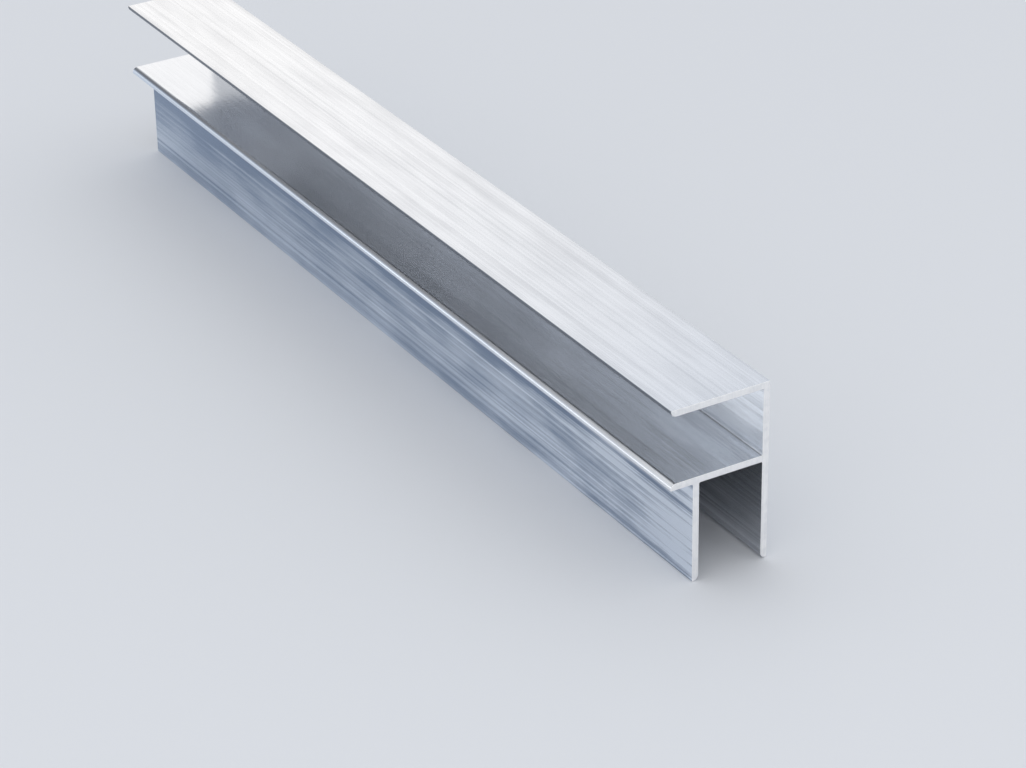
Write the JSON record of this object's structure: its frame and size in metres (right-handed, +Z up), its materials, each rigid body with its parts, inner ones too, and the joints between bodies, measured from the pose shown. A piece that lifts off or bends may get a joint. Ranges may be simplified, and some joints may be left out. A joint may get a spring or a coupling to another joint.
{
  "type": "aluminium extrusion profile",
  "caption": "Straight aluminium extrusion with a tall back web, a channel open to the front at the top and a channel open downward between two feet, for holding panel edges.",
  "frame": {"origin": "centre of the box around the profile, at the floor under its two feet", "axes": "+X along the length, +Y from the open flange tips to the back web, +Z up"},
  "size_m": [0.24, 0.023, 0.04],
  "materials": {
    "mill_aluminium": "mill finish with fine die lines along the length and satin sawn ends"
  },
  "bodies": {
    "root": {"twin_channel_profile": "mill_aluminium"}
  },
  "joints": []
}
